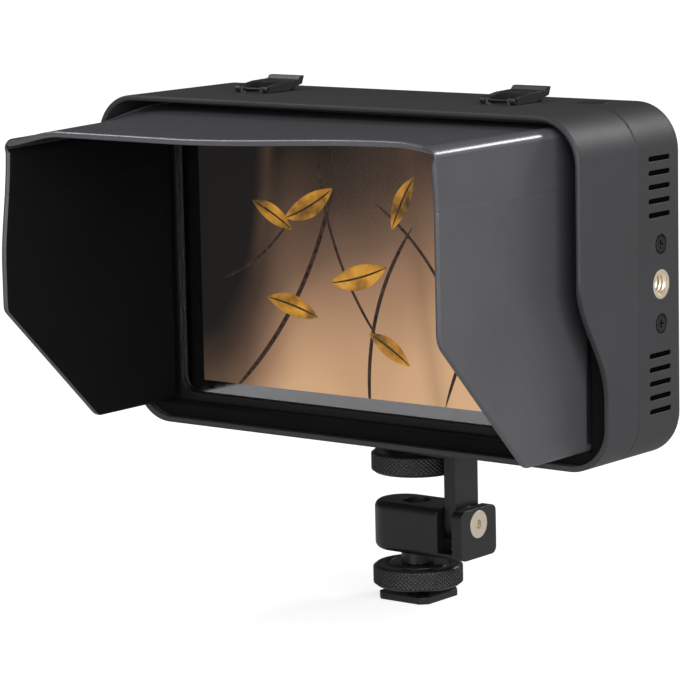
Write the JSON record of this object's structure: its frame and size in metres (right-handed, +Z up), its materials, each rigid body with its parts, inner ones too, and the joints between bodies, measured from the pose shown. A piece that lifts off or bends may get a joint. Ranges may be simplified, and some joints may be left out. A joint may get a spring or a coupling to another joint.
{
  "type": "camera field monitor with sun hood",
  "caption": "Small camera field monitor: screen in a rounded case, folding sun hood with snap levers, and a tilting, panning cold-shoe mount with knurled wheels.",
  "frame": {"origin": "middle of the shoe foot's underside", "axes": "+X to the right of the picture, +Y from the screen towards the back cover, +Z up; the screen looks along -Y"},
  "size_m": [0.173, 0.1078, 0.1539],
  "materials": {
    "black_anodised": "black anodised, satin",
    "black_screws": "black oxide",
    "steel": "nickel plated",
    "pad_rubber": "matt",
    "case_plastic": "soft-touch moulded",
    "bezel_plastic": "satin moulded",
    "cover_glass": "polished",
    "display": "lit picture",
    "backlight_sheet": "white diffuser",
    "sheet_metal": "bare sheet",
    "heat_sink": "black anodised",
    "circuit_board": "solder mask",
    "brass": "plated spring contact",
    "hood_leather": "grained artificial leather over board",
    "hood_cloth": "black woven tape"
  },
  "bodies": {
    "foot": {"shoe_foot": "black_anodised", "pan_screw": "steel"},
    "lock_wheel": {"foot_lock_wheel": "black_anodised"},
    "pan_block": {"clevis_block": "black_anodised", "pivot_screw": "steel", "pivot_washers": "steel"},
    "tilt_arm": {"tilt_arm": "black_anodised", "arm_pad": "pad_rubber"},
    "mount_screw": {"mount_thumb_wheel": "black_anodised", "mount_stud": "steel"},
    "power_button": {"power_button": "black_anodised"},
    "battery_latch": {"battery_latch": "case_plastic"},
    "left_clip": {"left_clip": "case_plastic"},
    "right_clip": {"right_clip": "case_plastic"},
    "hood_top": {"hood_top_board": "hood_leather"},
    "hood_left": {"left_side_board": "hood_leather", "left_upper_strip": "hood_leather"},
    "hood_right": {"right_side_board": "hood_leather", "right_upper_strip": "hood_leather"},
    "monitor": {"rear_casing": "case_plastic", "back_cover": "case_plastic", "cover_screws": "black_screws", "front_bezel": "bezel_plastic", "cover_glass": "cover_glass", "display_panel": "display", "backlight": "backlight_sheet", "chassis_plate": "sheet_metal", "main_board": "circuit_board", "board_screws": "steel", "heat_sink": "heat_sink", "hdmi_socket": "steel", "usb_socket": "steel", "power_socket": "bezel_plastic", "headphone_socket": "bezel_plastic", "right_socket_bracket": "steel", "left_socket_bracket": "steel", "bottom_socket_bracket": "steel", "bracket_screws": "black_screws", "power_switch": "bezel_plastic", "switch_board": "circuit_board", "battery_plate": "case_plastic", "battery_contacts": "brass", "hood_frame": "case_plastic", "hood_liner": "hood_cloth", "clip_pins": "steel", "hinge_tapes": "hood_cloth"}
  },
  "joints": [
    {"name": "foot_lock", "type": "hinge", "parent": "foot", "child": "lock_wheel", "pos_m": [0, 0, 0.00715], "axis": [0, 0, 1], "continuous": true},
    {"name": "pan", "type": "hinge", "parent": "foot", "child": "pan_block", "pos_m": [0, 0, 0.0218], "axis": [0, 0, 1], "continuous": true},
    {"name": "tilt", "type": "hinge", "parent": "pan_block", "child": "tilt_arm", "pos_m": [0.0163, 0, 0.0244], "axis": [1, 0, 0], "range_deg": [-90, 90]},
    {"name": "mount_screw_turn", "type": "hinge", "parent": "tilt_arm", "child": "mount_screw", "pos_m": [0, 0, 0.0414], "axis": [0, 0, 1], "continuous": true},
    {"name": "monitor_swivel", "type": "hinge", "parent": "tilt_arm", "child": "monitor", "pos_m": [0, 0, 0.0518], "axis": [0, 0, 1], "continuous": true},
    {"name": "power_button_press", "type": "slide", "parent": "monitor", "child": "power_button", "axis": [0, 0, -1], "range_m": [0, 0.0005], "stiffness_N_per_m": 600, "springref_m": -0.0008},
    {"name": "battery_latch_press", "type": "slide", "parent": "monitor", "child": "battery_latch", "axis": [0, -1, 0], "range_m": [0, 0.0016], "stiffness_N_per_m": 400, "springref_m": -0.001},
    {"name": "left_clip_lift", "type": "hinge", "parent": "monitor", "child": "left_clip", "pos_m": [-0.0446, -0.0178, 0.15085], "axis": [1, 0, 0], "range_deg": [0, 70]},
    {"name": "right_clip_lift", "type": "hinge", "parent": "monitor", "child": "right_clip", "pos_m": [0.0446, -0.0178, 0.15085], "axis": [1, 0, 0], "range_deg": [0, 70]},
    {"name": "hood_top_fold", "type": "hinge", "parent": "monitor", "child": "hood_top", "pos_m": [0, -0.024, 0.145], "axis": [1, 0, 0], "range_deg": [0, 90]},
    {"name": "hood_left_fold", "type": "hinge", "parent": "monitor", "child": "hood_left", "pos_m": [-0.0773, -0.02, 0.0998], "axis": [0, 0, 1], "range_deg": [0, 90]},
    {"name": "hood_right_fold", "type": "hinge", "parent": "monitor", "child": "hood_right", "pos_m": [0.0773, -0.02, 0.0998], "axis": [0, 0, -1], "range_deg": [0, 90]}
  ]
}
